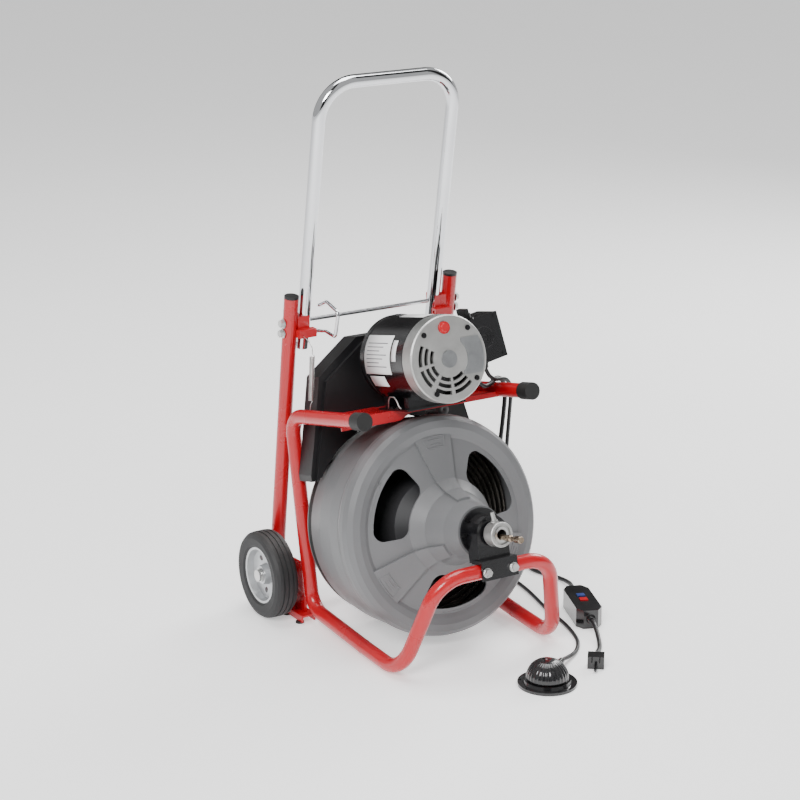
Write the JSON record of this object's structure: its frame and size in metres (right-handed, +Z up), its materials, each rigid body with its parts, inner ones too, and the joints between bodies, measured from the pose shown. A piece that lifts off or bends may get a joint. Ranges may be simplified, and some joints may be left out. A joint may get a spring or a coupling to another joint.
{
  "type": "drain cleaning machine",
  "caption": "Wheeled drum drain cleaning machine: tilted cable drum, belt-drive motor above, tube frame with sliding handle, foot switch and inline safety plug.",
  "frame": {"origin": "centre of the machine's footprint box on the floor, cords not counted", "axes": "+Z up, -Y towards the side where the cable leaves, +X to the viewer's right when facing the drum cover"},
  "size_m": [0.619, 0.7615, 0.9579],
  "materials": {
    "red_frame": "gloss red powder coat",
    "chrome": "bright chrome plate",
    "zinc": "zinc-plated steel",
    "black_paint": "semi-gloss black paint",
    "black_plastic": "satin black moulding",
    "gloss_black": "glossy black moulding",
    "rubber": "matt black rubber",
    "tyre": "solid ribbed rubber",
    "wheel_rim": "silver painted pressed steel",
    "drum_grey": "satin grey moulded plastic",
    "drum_core": "dark moulded plastic",
    "cable": "oiled dark spring steel",
    "bronze_steel": "heat-tinted steel",
    "cast_alloy": "as-cast satin alloy",
    "pulley": "machined iron",
    "red_plastic": "glossy red button",
    "blue_plastic": "dark blue button",
    "cord": "black flexible cord jacket"
  },
  "bodies": {
    "frame": {"side_tube_left": "red_frame", "side_tube_right": "red_frame", "front_loop": "red_frame", "upright_left": "red_frame", "upright_right": "red_frame", "upright_plugs": "black_plastic", "grip_caps": "rubber", "axle_brackets": "red_frame", "foot_pads": "rubber", "rear_support": "red_frame", "spindle": "zinc", "motor_plate": "red_frame", "axle_bar": "zinc", "axle_caps": "zinc", "handle_guides": "red_frame", "guide_bolts": "zinc", "latch_spring": "zinc", "bearing_disc": "black_paint", "hex_screws": "zinc", "front_bracket": "black_paint", "bracket_bolts": "zinc", "belt_guard": "black_plastic", "drive_belt": "rubber", "motor_shell": "black_paint", "front_bell": "cast_alloy", "bell_cap": "cast_alloy", "motor_cradle": "black_paint", "switch_box": "black_paint", "cord_glands": "black_plastic", "pedal_base": "gloss_black", "pedal_cord": "cord", "pedal_coil": "cord", "power_cord": "cord", "power_coil": "cord", "gfci_box": "gloss_black", "plug": "gloss_black"},
    "wheel_left": {"tyre_left": "tyre", "rim_left": "wheel_rim"},
    "wheel_right": {"tyre_right": "tyre", "rim_right": "wheel_rim"},
    "handle": {"handle_tube": "chrome", "handle_rod": "chrome"},
    "latch": {"latch_loop": "chrome"},
    "drum": {"drum_rear": "drum_grey", "drum_cover": "drum_grey", "drum_hub": "zinc", "inner_cone": "drum_core", "cable_coil": "cable", "guide_tube": "zinc", "cable_end": "bronze_steel", "lock_collar": "cast_alloy"},
    "collar_screw": {"thumb_screw": "cast_alloy"},
    "motor_rotor": {"motor_pulley": "pulley", "motor_shaft": "zinc", "motor_core": "pulley"},
    "overload_reset": {"reset_button": "red_plastic"},
    "rotary_switch": {"switch_knob": "black_plastic"},
    "foot_dome": {"pedal_dome": "gloss_black"},
    "gfci_test": {"gfci_test_button": "blue_plastic"},
    "gfci_reset": {"gfci_reset_button": "red_plastic"}
  },
  "joints": [
    {"name": "drum_spin", "type": "hinge", "parent": "frame", "child": "drum", "pos_m": [0, 0.0484, 0.1843], "axis": [0, -0.9755, 0.2202], "continuous": true},
    {"name": "motor_spin", "type": "hinge", "parent": "frame", "child": "motor_rotor", "pos_m": [0, 0.11186, 0.46543], "axis": [0, -0.9755, 0.2202], "continuous": true},
    {"name": "wheel_left_spin", "type": "hinge", "parent": "frame", "child": "wheel_left", "pos_m": [-0.205, 0.2038, 0.07755], "axis": [1, 0, 0], "continuous": true},
    {"name": "wheel_right_spin", "type": "hinge", "parent": "frame", "child": "wheel_right", "pos_m": [0.205, 0.2038, 0.07755], "axis": [1, 0, 0], "continuous": true},
    {"name": "handle_slide", "type": "slide", "parent": "frame", "child": "handle", "axis": [0, -0.164, 0.9865], "range_m": [-0.34, 0]},
    {"name": "latch_swing", "type": "hinge", "parent": "frame", "child": "latch", "pos_m": [-0.115, 0.1764, 0.513], "axis": [1, 0, 0], "range_deg": [0, 35], "stiffness_Nm_per_rad": 0.5, "springref_deg": -17.19},
    {"name": "collar_screw_turn", "type": "hinge", "parent": "drum", "child": "collar_screw", "pos_m": [0, -0.21205, 0.24309], "axis": [-0.1736, 0.2168, 0.9606], "range_deg": [0, 360]},
    {"name": "overload_reset_press", "type": "slide", "parent": "frame", "child": "overload_reset", "axis": [0, -0.9755, 0.2202], "range_m": [-0.0025, 0], "stiffness_N_per_m": 800},
    {"name": "rotary_switch_turn", "type": "hinge", "parent": "frame", "child": "rotary_switch", "pos_m": [0.09826, 0.04358, 0.53535], "axis": [-0.1736, 0.2168, 0.9606], "range_deg": [-45, 45]},
    {"name": "foot_dome_press", "type": "slide", "parent": "frame", "child": "foot_dome", "axis": [0, 0, 1], "range_m": [-0.004, 0], "stiffness_N_per_m": 2500},
    {"name": "gfci_test_press", "type": "slide", "parent": "frame", "child": "gfci_test", "axis": [0, 0, 1], "range_m": [-0.001, 0], "stiffness_N_per_m": 1500},
    {"name": "gfci_reset_press", "type": "slide", "parent": "frame", "child": "gfci_reset", "axis": [0, 0, 1], "range_m": [-0.001, 0], "stiffness_N_per_m": 1500}
  ],
  "couplings": [
    {"joint": "motor_spin", "follows": "drum_spin", "ratio": 5.352}
  ]
}
